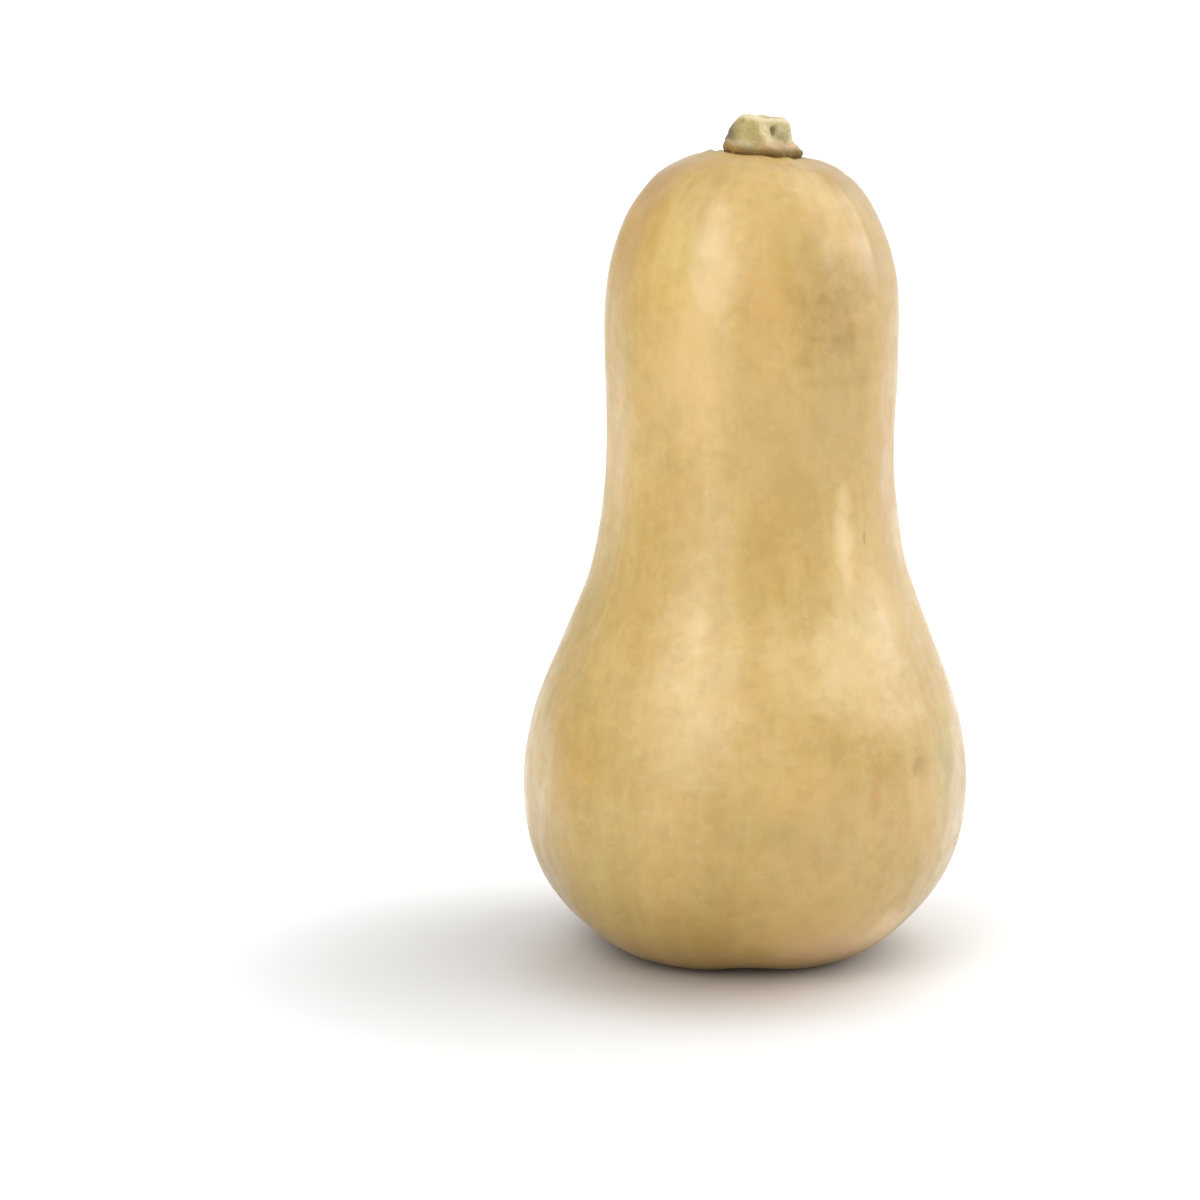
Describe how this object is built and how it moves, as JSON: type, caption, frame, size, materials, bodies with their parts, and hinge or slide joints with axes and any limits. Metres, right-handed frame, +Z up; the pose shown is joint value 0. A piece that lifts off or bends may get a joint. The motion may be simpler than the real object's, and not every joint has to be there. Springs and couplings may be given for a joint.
{
  "type": "butternut squash",
  "caption": "Whole butternut squash with a long thick neck, a round lobed bulb and a dried stem stub, standing upright on its blossom end.",
  "frame": {"origin": "on the surface the squash stands on, under the middle of its outline seen from above", "axes": "+Z up from the blossom end to the stem, +X to the viewer's right and -Y towards the viewer of the picture"},
  "size_m": [0.1256, 0.1238, 0.2357],
  "materials": {
    "skin": "smooth waxy tan rind with a soft sheen, pale streaks, faint olive patches and small corky flecks",
    "stem": "dry matt corky stem, grey-beige with olive hollows and brown creases"
  },
  "bodies": {
    "root": {"fruit": "skin", "stem": "stem"}
  },
  "joints": []
}
